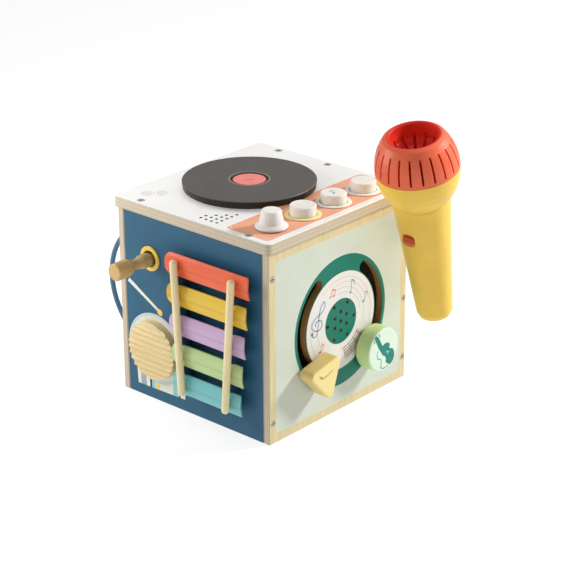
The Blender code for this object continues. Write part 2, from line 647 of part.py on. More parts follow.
def battery(rear):
    """Battery box behind the rear board, its door let into the board, two cells inside."""
    low_x, high_x = DOOR_X - DOOR_HALF_X, DOOR_X + DOOR_HALF_X
    low_z, high_z = DOOR_Z - DOOR_HALF_Z, DOOR_Z + DOOR_HALF_Z
    opening = rectangle(low_x, low_z, high_x, high_z, 4.0)
    cut(rear, prism("door_opening", opening, REAR - 20.0, REAR + 20.0, "Y", None, collection=CUTTERS))
    inner = REAR - WALL - GAP
    low, high = (low_x - 4, inner - 22.0, low_z - 4), (high_x + 4, inner, high_z + 4)
    case = box("battery_box", low, high, BLACK_PLASTIC)
    low, high = (low_x, inner - 20.0, low_z), (high_x, 200.0, high_z)
    hollow = box("battery_hollow", low, high, None, collection=CUTTERS)
    cut(case, hollow)
    slack = 0.4
    leaf = rectangle(low_x + slack, low_z + slack, high_x - slack, high_z - slack, 3.6)
    door = prism("battery_door", leaf, REAR - 2.6, REAR - 0.2, "Y", WHITE_PLASTIC)
    bore = rod_set("door_bore", [((DOOR_X, REAR, high_z - 6.0), (0, 1, 0), 2.3, 20.0, 16)])
    cut(door, bore)
    screw = [(0, 1.0), (3.0, 1.0), (3.2, 0.4), (3.2, 0.1), (1.9, 0.1), (1.9, -9.0), (0, -10.0)]
    lathe("battery_door_screw", screw, STEEL, (DOOR_X, REAR, high_z - 6.0), (math.radians(-90), 0, 0), 16)
    cell = [(0, 25.5), (2.6, 25.5), (2.6, 24.6), (7.0, 24.6), (7.0, -24.6), (0, -24.6)]
    for i, spot_z in enumerate((DOOR_Z - 16.0, DOOR_Z + 2.0)):
        turn = (0, math.radians(90 if i else -90), 0)
        lathe("battery_cell_%d" % (i + 1), cell, CELL_WRAP, (DOOR_X, inner - 11.0, spot_z), turn, 20)


def head_radius(height):
    share = (height - MIC_EQUATOR) / MIC_HEAD_HALF
    return MIC_HEAD_RADIUS * math.sqrt(1.0 - share * share)


def handle_radius(height):
    return MIC_TAIL_RADIUS + (MIC_NECK_RADIUS - MIC_TAIL_RADIUS) * height / MIC_NECK


def microphone():
    """Hollow handle and lower bowl, slotted coral head with an open mouth, switch and core."""
    bowl = (155.0, 148.0, 141.0, 135.0)
    outer = [(head_radius(height), height) for height in (MIC_SPLIT, *bowl, MIC_NECK)]
    outer += [(handle_radius(height), height) for height in (MIC_NECK - 2.0, 95.0, 55.0, 8.0)]
    tail = [(MIC_TAIL_RADIUS - 1.3, 3.2), (MIC_TAIL_RADIUS - 5.0, 0.8), (6.0, 0.0), (0, 0.0)]
    inner = [(0, MIC_SHELL), (MIC_TAIL_RADIUS - 5.5, 3.6), (handle_radius(9.0) - MIC_SHELL, 9.0)]
    inner += [(handle_radius(height) - MIC_SHELL, height) for height in (55.0, 95.0, MIC_NECK - 2.0)]
    inner.append((head_radius(MIC_NECK + 1.5) - MIC_SHELL, MIC_NECK + 1.5))
    inner += [(head_radius(height) - MIC_SHELL, height) for height in (*reversed(bowl), MIC_SPLIT)]
    body = lathe("mic_body", inner + outer + tail, YELLOW_PLASTIC, MIC_TAIL, MIC_TILT, 56)
    bottom = MIC_SPLIT + GAP
    lip = head_radius(MIC_RIM)
    bowl_top = [(0, 172.0), (8.0, 173.2), (14.5, 176.8), (18.8, 182.5), (20.8, 189.0)]
    shell = [(lip - 4.6, MIC_RIM - 1.0), (lip - 3.2, MIC_RIM), (lip - 1.2, MIC_RIM - 0.2)]
    shell += [(head_radius(height), height) for height in (193.5, 188.0, 182.0, 175.0, 168.0, bottom)]
    shell += [(head_radius(height) - MIC_SHELL, height) for height in (bottom, 168.0, 175.0, 182.0)]
    bowl_under = [(24.4, 186.5), (21.4, 182.0), (16.4, 175.0), (9.0, 170.6), (0, 169.4)]
    head = lathe("mic_head", bowl_top + shell + bowl_under, CORAL_PLASTIC, MIC_TAIL, MIC_TILT, 56)
    spot = Matrix.LocRotScale(Vector(MIC_TAIL) * MM, Euler(MIC_TILT), None)
    shape = bmesh.new()
    size = Matrix.Diagonal((20.0 * MM, 1.9 * MM, 24.0 * MM, 1.0))
    out = Matrix.Translation(Vector((MIC_HEAD_RADIUS + 2.4, 0, 178.5)) * MM)
    lean = Matrix.Rotation(math.radians(-17.0), 4, "Y")
    for i in range(MIC_SLOTS):
        around = Matrix.Rotation(2 * math.pi * (i + 0.8) / MIC_SLOTS, 4, "Z")
        bmesh.ops.create_cube(shape, size=1.0, matrix=spot @ around @ out @ lean @ size)
    size = Matrix.Diagonal((15.0 * MM, 2.6 * MM, 18.0 * MM, 1.0))
    out = Matrix.Translation(Vector((14.0, 0, 178.0)) * MM)
    for i in range(MIC_BOWL_SLOTS):
        around = Matrix.Rotation(2 * math.pi * (i + 0.2) / MIC_BOWL_SLOTS, 4, "Z")
        bmesh.ops.create_cube(shape, size=1.0, matrix=spot @ around @ out @ size)
    cut(head, place("mic_slots", finish_mesh("mic_slots", shape), None, collection=CUTTERS))
    face = handle_radius(SWITCH_HEIGHT)
    low, high = SWITCH_HEIGHT - 5.0, SWITCH_HEIGHT + 5.0
    outline = rectangle(-6.5, low - 0.4, 6.5, high + 2.4, 3.4)
    cut(body, prism("switch_pocket", outline, -face - 6.0, -face + 1.2, "X", None, MIC_TAIL, MIC_TILT, CUTTERS))
    outline = rectangle(-6.1, low, 6.1, high, 3.0)
    switch = prism("mic_switch", outline, -face - 1.6, -face + 0.9, "X", CORAL_PLASTIC, MIC_TAIL, MIC_TILT)
    soften(switch, 0.6, 2, 50.0)
    core = [(0, 116.0), (14.0, 116.0), (14.0, 108.0), (11.5, 104.0), (11.5, 28.0), (0, 28.0)]
    lathe("mic_core", core, BLACK_PLASTIC, MIC_TAIL, MIC_TILT, 20)


def microphone_cradle():
    """Bracket on the right board, reaching round the front corner to a magnetic saddle."""
    wall = RIGHT + GAP + 0.1
    outline = [(wall, -56.0), (wall, -96.0), (84.0, -101.5), (81.0, -112.0), (90.0, -125.0)]
    outline += [(99.0, -134.0), (104.0, -130.0), (109.0, -112.0), (109.0, -78.0), (103.0, -56.0)]
    arm = prism("mic_cradle", outline, 139.0, 167.0, "Z", WHITE_PLASTIC)
    clear = 0.5
    cone = [(0, 140.0), (handle_radius(140.0) + clear, 140.0), (handle_radius(20.0) + clear, 20.0), (0, 20.0)]
    cut(arm, lathe("cradle_hollow", cone, None, MIC_TAIL, MIC_TILT, 36, collection=CUTTERS))


FRONT_BOARD, REAR_BOARD, LEFT_BOARD, RIGHT_BOARD, LID = box_panels()
front_openings(FRONT_BOARD)
sliders()
guiro()
mallet(LEFT_BOARD)
for bar_index in range(5):
    xylophone_bar(bar_index)
xylophone_frame()
record_player(LID)
controls(LID)
electronics(LID)
LID_SPOTS, FRONT_SPOTS = screws()
screw_holes(LID, FRONT_BOARD, LEFT_BOARD, RIGHT_BOARD, LID_SPOTS, FRONT_SPOTS)
bead_wire(REAR_BOARD)
battery(REAR_BOARD)
microphone()
microphone_cradle()
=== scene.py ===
"""Surfaces, prints, lights and camera for the wooden activity cube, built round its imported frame.

Frame: metres, +Z up, floor at z = 0. The front (dial) faces -Y, the xylophone side faces -X.
Sizes below are millimetres unless they are multiplied by MM.
"""

import math

import bmesh
import bpy
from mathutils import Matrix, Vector


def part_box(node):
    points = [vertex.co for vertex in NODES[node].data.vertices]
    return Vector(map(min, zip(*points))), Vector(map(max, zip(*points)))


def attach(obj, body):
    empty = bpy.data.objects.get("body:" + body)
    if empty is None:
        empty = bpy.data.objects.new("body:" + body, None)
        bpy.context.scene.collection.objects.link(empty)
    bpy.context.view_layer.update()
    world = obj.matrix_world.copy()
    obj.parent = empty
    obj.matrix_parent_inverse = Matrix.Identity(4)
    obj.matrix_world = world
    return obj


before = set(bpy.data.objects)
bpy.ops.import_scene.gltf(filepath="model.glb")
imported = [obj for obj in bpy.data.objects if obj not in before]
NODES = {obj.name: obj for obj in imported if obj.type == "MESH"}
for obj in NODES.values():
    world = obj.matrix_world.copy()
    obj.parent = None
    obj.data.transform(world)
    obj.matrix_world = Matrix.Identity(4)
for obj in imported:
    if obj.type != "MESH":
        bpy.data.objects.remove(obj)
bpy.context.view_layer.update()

MM = 0.001
PRINT_LIFT = 0.02
PRINT_THICK = 0.05
PRINT_STEP = 0.01
SHEEN = 0.28


def linear(red, green, blue):
    """Turns 0-255 display colour into the linear colour that shaders use."""
    return tuple(((c / 255 + 0.055) / 1.055) ** 2.4 for c in (red, green, blue)) + (1.0,)


def face_of(node, axis, side):
    """Place of a CAD node's face in millimetres: axis 0-2, side 0 for low and 1 for high."""
    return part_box(node)[side][axis] / MM


def centre_of(node):
    """Middle of a CAD node's box in millimetres."""
    low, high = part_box(node)
    return (low + high) / 2 / MM


FRONT = face_of("front_panel", 1, 0)
LEFT = face_of("left_panel", 0, 0)
LID_TOP = face_of("top_panel", 2, 1)
KNOB_FACE = face_of("triangle_knob", 1, 0)
PAINT_DEPTH = 0.45
PAINT_LOW = (-88.0, 9.0)
PAINT_HIGH = (88.0, 175.5)
PAINT_CORNER = 4.5
DIAL_X = 1.0
DIAL_Z = 90.0
DIAL_RADIUS = 64.0
DIAL_RING_OUTER = 47.7
DIAL_RING_INNER = 22.0
SLOT_WALLS_RADIUS = 70.0
RECORD_GROOVE_PITCH = 1.1
# Radii of the painted highlight ring round the record's label
RECORD_HIGHLIGHT_RING = (18.5, 19.3)
LABEL_RIM_RADIUS = 15.3
RECESS_HALF_WIDTH = 0.45
RECESS_REACH = 1.9
MIC_TAIL = (93.1, -131.3, 77.0)
MIC_AXIS = (-0.2418, -0.0297, 0.9699)
MIC_NECK = 130.0
MIC_EQUATOR = 163.0
MIC_HEAD_RADIUS = 38.5
MIC_HEAD_HALF = 45.0
MIC_BOWL_DEPTH = 45.0
MIC_SKIN = 0.965
SWITCH_HEIGHT = 97.2


class Finish:
    """One Principled material, with short names for the nodes that vary it."""

    def __init__(self, name, roughness=0.5, **sockets):
        self.material = bpy.data.materials.new(name)
        self.material.use_nodes = True
        self.nodes = self.material.node_tree.nodes
        self.links = self.material.node_tree.links
        self.shader = self.nodes["Principled BSDF"]
        self.shader.inputs["Roughness"].default_value = roughness
        self.shader.inputs["Specular IOR Level"].default_value = SHEEN
        for label, value in sockets.items():
            self.shader.inputs[label.replace("_", " ")].default_value = value
        self.where = self.nodes.new("ShaderNodeTexCoord").outputs["Object"]
        split = self.nodes.new("ShaderNodeSeparateXYZ")
        self.links.new(self.where, split.inputs[0])
        self.x, self.y, self.z = (self.scaled(out, 1 / MM) for out in split.outputs)

    def add(self, kind, values, **settings):
        """New shader node with those settings; each input gets a value or a link from a socket."""
        node = self.nodes.new(kind)
        for label, value in settings.items():
            setattr(node, label, value)
        for label, value in values.items():
            if isinstance(value, bpy.types.NodeSocket):
                self.links.new(value, node.inputs[label])
            else:
                node.inputs[label].default_value = value
        return node

    def math(self, operation, a, b=0.0, c=0.0):
        return self.add("ShaderNodeMath", {0: a, 1: b, 2: c}, operation=operation).outputs[0]

    def scaled(self, socket, factor):
        return self.math("MULTIPLY", socket, factor)

    def both(self, a, b):
        """Product of two sockets: where a mask and another one overlap."""
        return self.math("MULTIPLY", a, b)

    def noise(self, size, stretch=(1, 1, 1), detail=3.0):
        """Noise with features of that size in millimetres, drawn out by stretch along each axis."""
        scale = tuple(1 / (size * MM * s) for s in stretch)
        spot = self.add("ShaderNodeVectorMath", {0: self.where, 1: scale}, operation="MULTIPLY")
        values = {"Vector": spot.outputs[0], "Scale": 1.0, "Detail": detail, "Roughness": 0.55}
        return self.add("ShaderNodeTexNoise", values).outputs["Fac"]

    def span(self, socket, low, high, to_low=0.0, to_high=1.0):
        """Maps low..high to to_low..to_high, and holds it at those ends."""
        values = {0: socket, 1: low, 2: high, 3: to_low, 4: to_high}
        return self.add("ShaderNodeMapRange", values).outputs[0]

    def mix(self, factor, a, b):
        """Colour a where the factor is 0, colour b where it is 1."""
        node = self.add("ShaderNodeMix", {0: factor}, data_type="RGBA", blend_type="MIX")
        for index, value in ((6, a), (7, b)):
            if isinstance(value, bpy.types.NodeSocket):
                self.links.new(value, node.inputs[index])
            else:
                node.inputs[index].default_value = value
        return node.outputs[2]

    def radius(self, a, b, centre_a=0.0, centre_b=0.0):
        """Distance from a point of the plane of the sockets a and b."""
        across = self.math("SUBTRACT", a, centre_a)
        up = self.math("SUBTRACT", b, centre_b)
        return self.length(across, up)

    def length(self, a, b):
        """Root of the sum of two squares."""
        return self.math("SQRT", self.math("ADD", self.both(a, a), self.both(b, b)))

    def below(self, socket, level, soft=0.2):
        """1 where the socket is under level, 0 above it, with a narrow blend."""
        return self.span(socket, level - soft / 2, level + soft / 2, 1.0, 0.0)

    def plate(self, a, b, low, high, corner):
        """1 inside a rounded rectangle of the plane of the sockets a and b."""
        reach = []
        for socket, start, end in ((a, low[0], high[0]), (b, low[1], high[1])):
            off = self.math("ABSOLUTE", self.math("SUBTRACT", socket, (start + end) / 2))
            reach.append(self.math("MAXIMUM", self.math("SUBTRACT", off, (end - start) / 2 - corner), 0.0))
        return self.below(self.radius(*reach), corner)

    def colour(self, socket):
        self.links.new(socket, self.shader.inputs["Base Color"])
        return self

    def rough(self, socket):
        self.links.new(socket, self.shader.inputs["Roughness"])
        return self

    def glow(self, where, colour, strength):
        """Light that comes through a thin coloured shell, given as a weak emission."""
        self.shader.inputs["Emission Color"].default_value = colour
        self.links.new(self.scaled(where, strength), self.shader.inputs["Emission Strength"])
        return self

    def bump(self, height, distance, strength=1.0):
        values = {"Height": height, "Distance": distance * MM, "Strength": strength}
        node = self.add("ShaderNodeBump", values)
        self.links.new(node.outputs[0], self.shader.inputs["Normal"])
        return self

    def put(self, *names):
        """Gives the finish to those CAD nodes."""
        for name in names:
            mesh = NODES[name].data
            mesh.materials.clear()
            mesh.materials.append(self.material)
        return self


def shade(colour, factor):
    """The colour made darker or lighter."""
    return tuple(c * factor for c in colour[:3]) + (1.0,)


def grain(finish, light, dark, along, size=1.1):
    """Wood colour: long streaks along one axis over broad, soft bands."""
    streak = [1.0, 1.0, 1.0]
    streak[along] = 26.0
    fine = finish.noise(size, streak, 4.0)
    broad = finish.noise(size * 6, [1 + (s - 1) / 5 for s in streak], 2.0)
    level = finish.math("ADD", finish.scaled(fine, 0.6), finish.scaled(broad, 0.4))
    return finish.mix(finish.span(level, 0.36, 0.64), dark, light), fine


def wood(name, light, dark, along, roughness=0.55, size=1.1):
    """Bare wood with its grain along one axis."""
    finish = Finish(name, roughness)
    colour, fine = grain(finish, light, dark, along, size)
    return finish.colour(colour).bump(fine, 0.05, 0.35)


def plastic(name, colour, roughness=0.32, coat=0.0):
    """Moulded plastic: fine skin texture and very slight unevenness of colour and gloss."""
    finish = Finish(name, roughness, Coat_Weight=coat, Coat_Roughness=0.15)
    broad = finish.noise(22.0, detail=2.0)
    finish.colour(finish.mix(finish.span(broad, 0.3, 0.7), shade(colour, 0.94), shade(colour, 1.06)))
    finish.rough(finish.span(broad, 0.25, 0.75, roughness - 0.04, roughness + 0.05))
    return finish.bump(finish.noise(0.7, detail=2.0), 0.012, 0.5)


def ink(name, colour):
    """Printed ink: faint mottling and the grain of the board under it."""
    finish = Finish(name, 0.5)
    mottle = finish.noise(3.0, detail=4.0)
    finish.colour(finish.mix(finish.span(mottle, 0.3, 0.7), shade(colour, 0.92), shade(colour, 1.08)))
    return finish.bump(finish.noise(1.2, (1, 1, 8)), 0.01, 0.4)


# Colours that several finishes share
PALE_GREEN = linear(206, 212, 197)
DARK_GREEN = linear(0, 116, 97)
RING_WHITE = linear(228, 226, 219)
MARGIN = linear(223, 208, 164)
MARGIN_DARK = linear(210, 192, 145)
PLY_LIGHT = linear(209, 196, 174)
PLY_DARK = linear(188, 172, 146)
# Darker brown for the slot walls in the dial: painted shade
SLOT_WALL_SHADE = linear(165, 128, 78)
BLUE = linear(44, 94, 122)
SALMON = linear(238, 172, 140)
LID_WHITE = linear(240, 239, 236)
# Near-black painted shade for the walls of the lid's holes
HOLE_SHADE = linear(40, 32, 26)


def ply(finish, across, pitch=2.3):
    """End grain of plywood: thin layers stacked along the socket across."""
    wobble = finish.noise(9.0, detail=2.0)
    turn = finish.math("MULTIPLY_ADD", across, math.tau / pitch, finish.scaled(wobble, 1.2))
    layer = finish.span(finish.math("SINE", turn), -0.4, 0.4)
    speckle = finish.noise(0.8, (3, 3, 1), 3.0)
    level = finish.math("ADD", finish.scaled(layer, 0.3), finish.scaled(speckle, 0.7))
    return finish.mix(finish.span(level, 0.1, 0.8), PLY_DARK, PLY_LIGHT)


def mottled(finish, colour, vary=0.03, size=26.0):
    """Paint with slow, slight changes of tone."""
    soft = finish.noise(size, detail=4.0)
    return finish.mix(finish.span(soft, 0.3, 0.7), shade(colour, 1 - vary), shade(colour, 1 + vary))


def front_finish():
    """Pale green print with a bare margin, dial rings, ply edges, and slot walls painted darker brown than
    the ply as painted shade.
    """
    finish = Finish("front_board", 0.5)
    reach = finish.radius(finish.x, finish.z, DIAL_X, DIAL_Z)
    print_area = finish.plate(finish.x, finish.z, PAINT_LOW, PAINT_HIGH, PAINT_CORNER)
    bare, fine = grain(finish, MARGIN, MARGIN_DARK, 2)
    face = finish.mix(print_area, bare, mottled(finish, PALE_GREEN))
    face = finish.mix(finish.below(reach, DIAL_RADIUS), face, mottled(finish, DARK_GREEN, 0.06))
    face = finish.mix(finish.below(reach, DIAL_RING_OUTER), face, mottled(finish, RING_WHITE, 0.02))
    face = finish.mix(finish.below(reach, DIAL_RING_INNER), face, mottled(finish, DARK_GREEN, 0.06))
    # Walls inside the dial's slots are painted darker brown than the ply edges: painted shade.
    walls = finish.mix(finish.below(reach, SLOT_WALLS_RADIUS), ply(finish, finish.y), SLOT_WALL_SHADE)
    on_face = finish.below(finish.y, FRONT + PAINT_DEPTH, 0.3)
    finish.colour(finish.mix(on_face, walls, face))
    finish.rough(finish.span(finish.noise(14.0), 0.3, 0.7, 0.42, 0.56))
    return finish.bump(fine, 0.03, 0.35).put("front_panel")


def rear_finish():
    """Pale green print with a bare margin, like the front board, without the dial."""
    finish = Finish("rear_board", 0.5)
    bare, fine = grain(finish, MARGIN, MARGIN_DARK, 2)
    area = finish.plate(finish.x, finish.z, PAINT_LOW, PAINT_HIGH, PAINT_CORNER)
    face = finish.mix(area, bare, mottled(finish, PALE_GREEN))
    rear = face_of("rear_panel", 1, 1)
    on_face = finish.below(finish.scaled(finish.y, -1.0), PAINT_DEPTH - rear, 0.3)
    finish.colour(finish.mix(on_face, ply(finish, finish.y), face))
    return finish.bump(fine, 0.03, 0.35).put("rear_panel")


def side_finish(name, node, colour, side):
    """Painted side board: thin streaks of the grain show through the paint."""
    finish = Finish(name, 0.48)
    streak = finish.noise(2.2, (1, 1, 9), 5.0)
    paint = mottled(finish, colour, 0.05)
    paint = finish.mix(finish.span(streak, 0.60, 0.78, 0.0, 0.30), paint, shade(colour, 0.55))
    edge = face_of(node, 0, 0 if side < 0 else 1)
    on_face = finish.below(finish.scaled(finish.x, -side), PAINT_DEPTH - edge * side, 0.3)
    finish.colour(finish.mix(on_face, ply(finish, finish.x), paint))
    finish.rough(finish.span(streak, 0.3, 0.7, 0.42, 0.56))
    return finish.bump(streak, 0.03, 0.4).put(node)


def lid_finish():
    """White paint, salmon control strip with a white border, ply edge, and walls in the holes painted
    near-black as painted shade.
    """
    finish = Finish("lid_board", 0.45)
    paint = mottled(finish, LID_WHITE, 0.015)
    strip = finish.plate(finish.x, finish.y, (-93.0, -89.0), (93.0, -38.5), 3.5)
    border = finish.plate(finish.x, finish.y, (-96.0, -92.0), (96.0, -36.4), 5.0)
    face = finish.mix(finish.scaled(border, 0.55), paint, linear(250, 247, 240))
    face = finish.mix(strip, face, mottled(finish, SALMON, 0.03))
    on_face = finish.below(finish.scaled(finish.z, -1.0), 0.35 - LID_TOP, 0.3)
    # Hole walls and the underside inside the edge band are painted near-black as painted shade; the outer
    # edges show ply.
    holes = finish.plate(finish.x, finish.y, (-94.0, -90.0), (94.0, 90.0), 4.0)
    under = finish.mix(holes, ply(finish, finish.z, 3.4), HOLE_SHADE)
    finish.colour(finish.mix(on_face, under, face))
    finish.rough(finish.span(finish.noise(18.0), 0.3, 0.7, 0.40, 0.50))
    return finish.bump(finish.noise(1.0, (12, 1, 1)), 0.02, 0.3).put("top_panel")


def record_finish():
    """Near-black moulding with fine concentric grooves; the top is painted dark grey as painted sheen, and
    one ring round the label is painted lighter as a painted highlight.
    """
    finish = Finish("record_vinyl", 0.42)
    centre = centre_of("record")
    reach = finish.radius(finish.x, finish.y, centre.x, centre.y)
    base = mottled(finish, linear(92, 89, 85), 0.06)
    groove = finish.math("SINE", finish.scaled(reach, math.tau / RECORD_GROOVE_PITCH))
    # A thin ring round the label is painted lighter: painted highlight.
    inside, outside = (finish.below(reach, edge) for edge in RECORD_HIGHLIGHT_RING)
    lit = finish.both(outside, finish.math("SUBTRACT", 1.0, inside))
    base = finish.mix(finish.span(groove, -1, 1, 0.0, 0.16), base, linear(48, 46, 44))
    base = finish.mix(finish.scaled(lit, 0.7), base, linear(175, 165, 150))
    # The top is painted dark grey and the side near-black: the grey of the top is painted sheen.
    side = finish.below(finish.z, face_of("record", 2, 1) - 0.7, 0.4)
    finish.colour(finish.mix(side, base, linear(30, 25, 22)))
    finish.rough(finish.span(finish.noise(30.0), 0.3, 0.7, 0.36, 0.46))
    finish.bump(groove, 0.02, 0.5).put("record")
    label = Finish("record_label_paper", 0.5)
    reach = label.radius(label.x, label.y, centre.x, centre.y)
    paper = mottled(label, linear(232, 138, 128), 0.04, 6.0)
    rim = label.math("SUBTRACT", 1.0, label.below(reach, LABEL_RIM_RADIUS))
    label.colour(label.mix(rim, paper, linear(70, 35, 28)))
    label.bump(label.noise(0.6), 0.015, 0.4).put("record_label")
    return centre


def enamel(name, node, colour):
    """Glossy enamel on a pressed metal bar, with a crease along it painted darker as painted shade, and
    faint orange peel.
    """
    finish = Finish(name, 0.34, Coat_Weight=0.2, Coat_Roughness=0.15)
    crease = centre_of(node).z - 1.5
    off = finish.math("SUBTRACT", finish.z, crease)
    dip = finish.span(finish.math("ABSOLUTE", off), 0.0, 2.6, 1.0, 0.0)
    broad = finish.noise(30.0, detail=3.0)
    tone = finish.mix(finish.span(broad, 0.3, 0.7), shade(colour, 0.95), shade(colour, 1.04))
    # The crease is painted darker: painted shade in the crease.
    tone = finish.mix(finish.scaled(finish.both(dip, dip), 0.45), tone, shade(colour, 0.62))
    finish.colour(tone)
    finish.rough(finish.span(broad, 0.3, 0.7, 0.30, 0.40))
    peel = finish.scaled(finish.noise(2.4, detail=2.0), 0.05)
    return finish.bump(finish.math("SUBTRACT", peel, dip), 0.35, 0.5).put(node)


def steel(finish):
    """Zinc-plated steel, darker and duller where it is worn."""
    worn = finish.noise(1.6, detail=4.0)
    finish.rough(finish.span(worn, 0.3, 0.7, 0.28, 0.50)).bump(worn, 0.03, 0.5)
    return finish.mix(finish.span(worn, 0.3, 0.7), linear(176, 170, 160), linear(224, 220, 212))


def screw_finish(node):
    """Screw whose cross recess and rim are painted dark as painted shade, on the axis in which its head
    faces.
    """
    finish = Finish(node + "_steel", 0.38, Metallic=0.45)
    centre = centre_of(node)
    low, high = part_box(node)
    size = (high - low) / MM
    upright = size.z > size.y
    across = finish.math("ABSOLUTE", finish.math("SUBTRACT", finish.x, centre.x))
    along = finish.y if upright else finish.z
    middle = centre.y if upright else centre.z
    along = finish.math("ABSOLUTE", finish.math("SUBTRACT", along, middle))
    reach = finish.radius(across, along)
    arm = finish.below(finish.math("MINIMUM", across, along), RECESS_HALF_WIDTH, 0.2)
    recess = finish.both(arm, finish.below(reach, RECESS_REACH, 0.3))
    rim = finish.math("SUBTRACT", 1.0, finish.below(reach, size.x / 2 - 0.35, 0.3))
    # The cross recess and the rim round the head are painted dark: painted shade.
    dark = finish.math("MAXIMUM", recess, finish.scaled(rim, 0.6))
    return finish.colour(finish.mix(dark, steel(finish), linear(44, 42, 40))).put(node)


front_finish()
rear_finish()
side_finish("left_board", "left_panel", BLUE, -1)
side_finish("right_board", "right_panel", linear(236, 200, 110), 1)
lid_finish()
RECORD_CENTRE = record_finish()
wood("base_birch", linear(224, 205, 165), linear(200, 178, 132), 0).put("base_panel")
rods = ("xylophone_rod_left", "xylophone_rod_right")
wood("rod_birch", linear(250, 236, 192), linear(236, 217, 164), 2, 0.5, 0.9).put(*rods)
wood("guiro_beech", linear(238, 220, 174), linear(224, 202, 150), 1, 0.52, 1.2).put("guiro_disc")
wood("mallet_beech", linear(220, 188, 128), linear(188, 152, 94), 0, 0.38, 0.9).put("mallet")
# The rails are blue paint like the side board, painted darker navy as painted shade behind the bars.
ink("rail_paint", linear(30, 62, 88)).put("xylophone_rail_left", "xylophone_rail_right")
for bar, (tint, colour) in enumerate((
    ("coral", linear(236, 104, 66)), ("yellow", linear(232, 194, 64)), ("lilac", linear(206, 172, 208)),
    ("green", linear(190, 212, 148)), ("teal", linear(122, 194, 198)),
)):
    enamel(tint + "_bar_enamel", "xylophone_bar_%d" % (bar + 1), colour)
plastic("knob_white", linear(240, 236, 230), 0.35).put("volume_knob", "button_1", "button_2", "button_3")
plastic("bezel_white", linear(240, 236, 228), 0.35).put("bezel_2", "bezel_3")
plastic("bezel_yellow", linear(246, 232, 160), 0.35).put("bezel_1")
plastic("door_white", linear(236, 233, 228), 0.4).put("battery_door", "mic_cradle")
plastic("ring_yellow", linear(244, 208, 96), 0.3).put("mallet_ring")
plastic("dark_moulding", linear(34, 32, 31), 0.55).put(
    "triangle_runner", "guitar_runner", "volume_pot", "control_tray", "speaker", "battery_box", "mic_core"
)
plastic("circuit_green", linear(30, 90, 50), 0.4).put("circuit_board")
plastic("cell_sleeve", linear(50, 80, 130), 0.3).put("battery_cell_1", "battery_cell_2")
plastic("wire_blue", linear(62, 104, 136), 0.34, 0.2).put("bead_wire")
plastic("bead_paint", linear(232, 110, 84), 0.3, 0.3).put("wire_bead")
for screw in (name for name in NODES if "screw" in name):
    screw_finish(screw)
spindle = Finish("spindle_steel", 0.38, Metallic=0.9)
spindle.colour(steel(spindle)).put("record_spindle")


def along_mic(finish):
    """Height along the microphone's axis and distance from it, in millimetres."""
    tail = [c * MM for c in MIC_TAIL]
    reach = finish.add("ShaderNodeVectorMath", {0: finish.where, 1: tail}, operation="SUBTRACT").outputs[0]
    dot = finish.add("ShaderNodeVectorMath", {0: reach, 1: MIC_AXIS}, operation="DOT_PRODUCT")
    height = dot.outputs["Value"]
    length = finish.add("ShaderNodeVectorMath", {0: reach}, operation="LENGTH").outputs["Value"]
    square = finish.math("SUBTRACT", finish.both(length, length), finish.both(height, height))
    off = finish.math("SQRT", finish.math("MAXIMUM", square, 0.0))
    return finish.scaled(height, 1 / MM), finish.scaled(off, 1 / MM)


def mic_body_finish():
    """Satin yellow outside; the hollow behind the lower bowl's slots is painted dark red as painted shade,
    with a weak red glow as painted light coming through the shell.
    """
    finish = Finish("mic_yellow", 0.40, Coat_Weight=0.1, Coat_Roughness=0.2)
    height, off = along_mic(finish)
    up = finish.scaled(finish.math("SUBTRACT", height, MIC_EQUATOR), 1 / MIC_BOWL_DEPTH)
    out = finish.scaled(off, 1 / MIC_HEAD_RADIUS)
    shell = finish.length(up, out)
    above = finish.math("SUBTRACT", 1.0, finish.below(height, MIC_NECK, 1.0))
    inside = finish.both(finish.below(shell, MIC_SKIN, 0.03), above)
    broad = finish.noise(22.0, detail=2.0)
    yellow = linear(238, 198, 80)
    tone = finish.mix(finish.span(broad, 0.3, 0.7), shade(yellow, 0.95), shade(yellow, 1.04))
    # The hollow is painted dark red as painted shade and glows weakly red as painted light coming through
    # the shell.
    finish.colour(finish.mix(inside, tone, linear(140, 20, 12)))
    finish.glow(inside, linear(150, 20, 10), 0.16)
    finish.rough(finish.span(broad, 0.25, 0.75, 0.36, 0.45))
    finish.bump(finish.noise(0.7, detail=2.0), 0.012, 0.5).put("mic_body")


def mic_head_finish():
    """Satin coral outside; the bowl, slots and hollow behind them are painted a deeper red as painted
    shade, with a weak red glow as painted light coming through the shell.
    """
    finish = Finish("mic_coral", 0.42, Coat_Weight=0.1, Coat_Roughness=0.2)
    height, off = along_mic(finish)
    up = finish.scaled(finish.math("SUBTRACT", height, MIC_EQUATOR), 1 / MIC_HEAD_HALF)
    out = finish.scaled(off, 1 / MIC_HEAD_RADIUS)
    shell = finish.length(up, out)
    inside = finish.below(shell, MIC_SKIN, 0.03)
    broad = finish.noise(22.0, detail=2.0)
    coral = linear(236, 106, 70)
    tone = finish.mix(finish.span(broad, 0.3, 0.7), shade(coral, 0.94), shade(coral, 1.06))
    # The inside is painted deeper red as painted shade and glows weakly red as painted light coming
    # through the shell.
    finish.colour(finish.mix(inside, tone, linear(196, 34, 14)))
    finish.glow(inside, linear(170, 24, 10), 0.22)
    finish.rough(finish.span(broad, 0.25, 0.75, 0.38, 0.47))
    finish.bump(finish.noise(0.7, detail=2.0), 0.012, 0.5).put("mic_head")


def mic_switch_finish():
    """Switch button: coral above, amber below."""
    finish = Finish("mic_switch_paint", 0.4)
    height, _ = along_mic(finish)
    lower = finish.below(height, SWITCH_HEIGHT - 1.0, 1.2)
    upper = mottled(finish, linear(204, 70, 42), 0.05, 4.0)
    finish.colour(finish.mix(lower, upper, linear(202, 118, 48)))
    finish.bump(finish.noise(0.6, detail=2.0), 0.012, 0.5).put("mic_switch")


